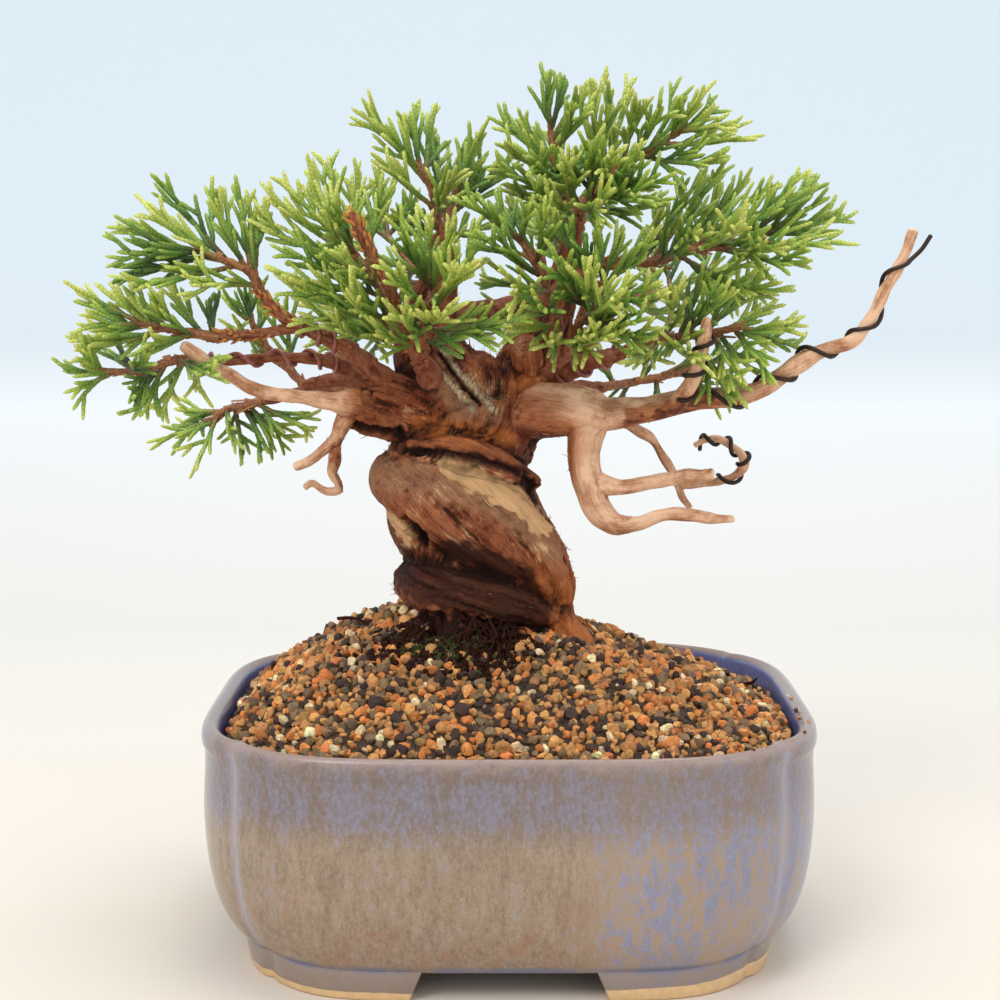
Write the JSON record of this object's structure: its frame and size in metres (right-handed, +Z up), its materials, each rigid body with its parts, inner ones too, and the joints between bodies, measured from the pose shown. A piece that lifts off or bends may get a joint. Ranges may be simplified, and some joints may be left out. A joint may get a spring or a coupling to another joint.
{
  "type": "potted bonsai tree",
  "caption": "Small twisted juniper with bare deadwood, training wire and scale-leaved sprays, in a four-lobed glazed pot on corner feet.",
  "frame": {"origin": "on the resting surface, under the middle of the whole tree's bounding box", "axes": "+Z up; +X to the right of the pot's long side as seen from its front; +Y away from the front"},
  "size_m": [0.1612, 0.105, 0.165],
  "materials": {
    "glazed_stoneware": "satin",
    "soil_grains": "matte",
    "mesh_plastic": "matte",
    "bark": "matte",
    "deadwood": "matte",
    "dark_wire": "satin",
    "copper_wire": "satin",
    "foliage": "satin"
  },
  "bodies": {
    "root": {"pot": "glazed_stoneware", "drain_mesh": "mesh_plastic", "soil": "soil_grains", "trunk": "bark", "jin_right": "deadwood", "jin_left": "deadwood", "wire_right_whip": "dark_wire", "wire_right_stub": "dark_wire", "wire_back_curl": "dark_wire", "wire_left_upper": "copper_wire", "wire_left_middle": "copper_wire", "wire_right_leader": "copper_wire", "foliage_left_upper": "foliage", "foliage_left_middle": "foliage", "foliage_left_lower": "foliage", "foliage_left_back_low": "foliage", "foliage_left_back": "foliage", "foliage_centre_left": "foliage", "foliage_centre_front": "foliage", "foliage_centre_top": "foliage", "foliage_centre_top_back": "foliage", "foliage_crown_left": "foliage", "foliage_crown_right": "foliage", "foliage_crown_front": "foliage", "foliage_right_upper": "foliage", "foliage_front_left": "foliage", "foliage_front_right": "foliage", "foliage_right_lower": "foliage", "foliage_right_back_low": "foliage", "foliage_middle_back": "foliage", "foliage_back_crown": "foliage", "foliage_back_left": "foliage", "foliage_back_right": "foliage", "foliage_back_low": "foliage"}
  },
  "joints": []
}
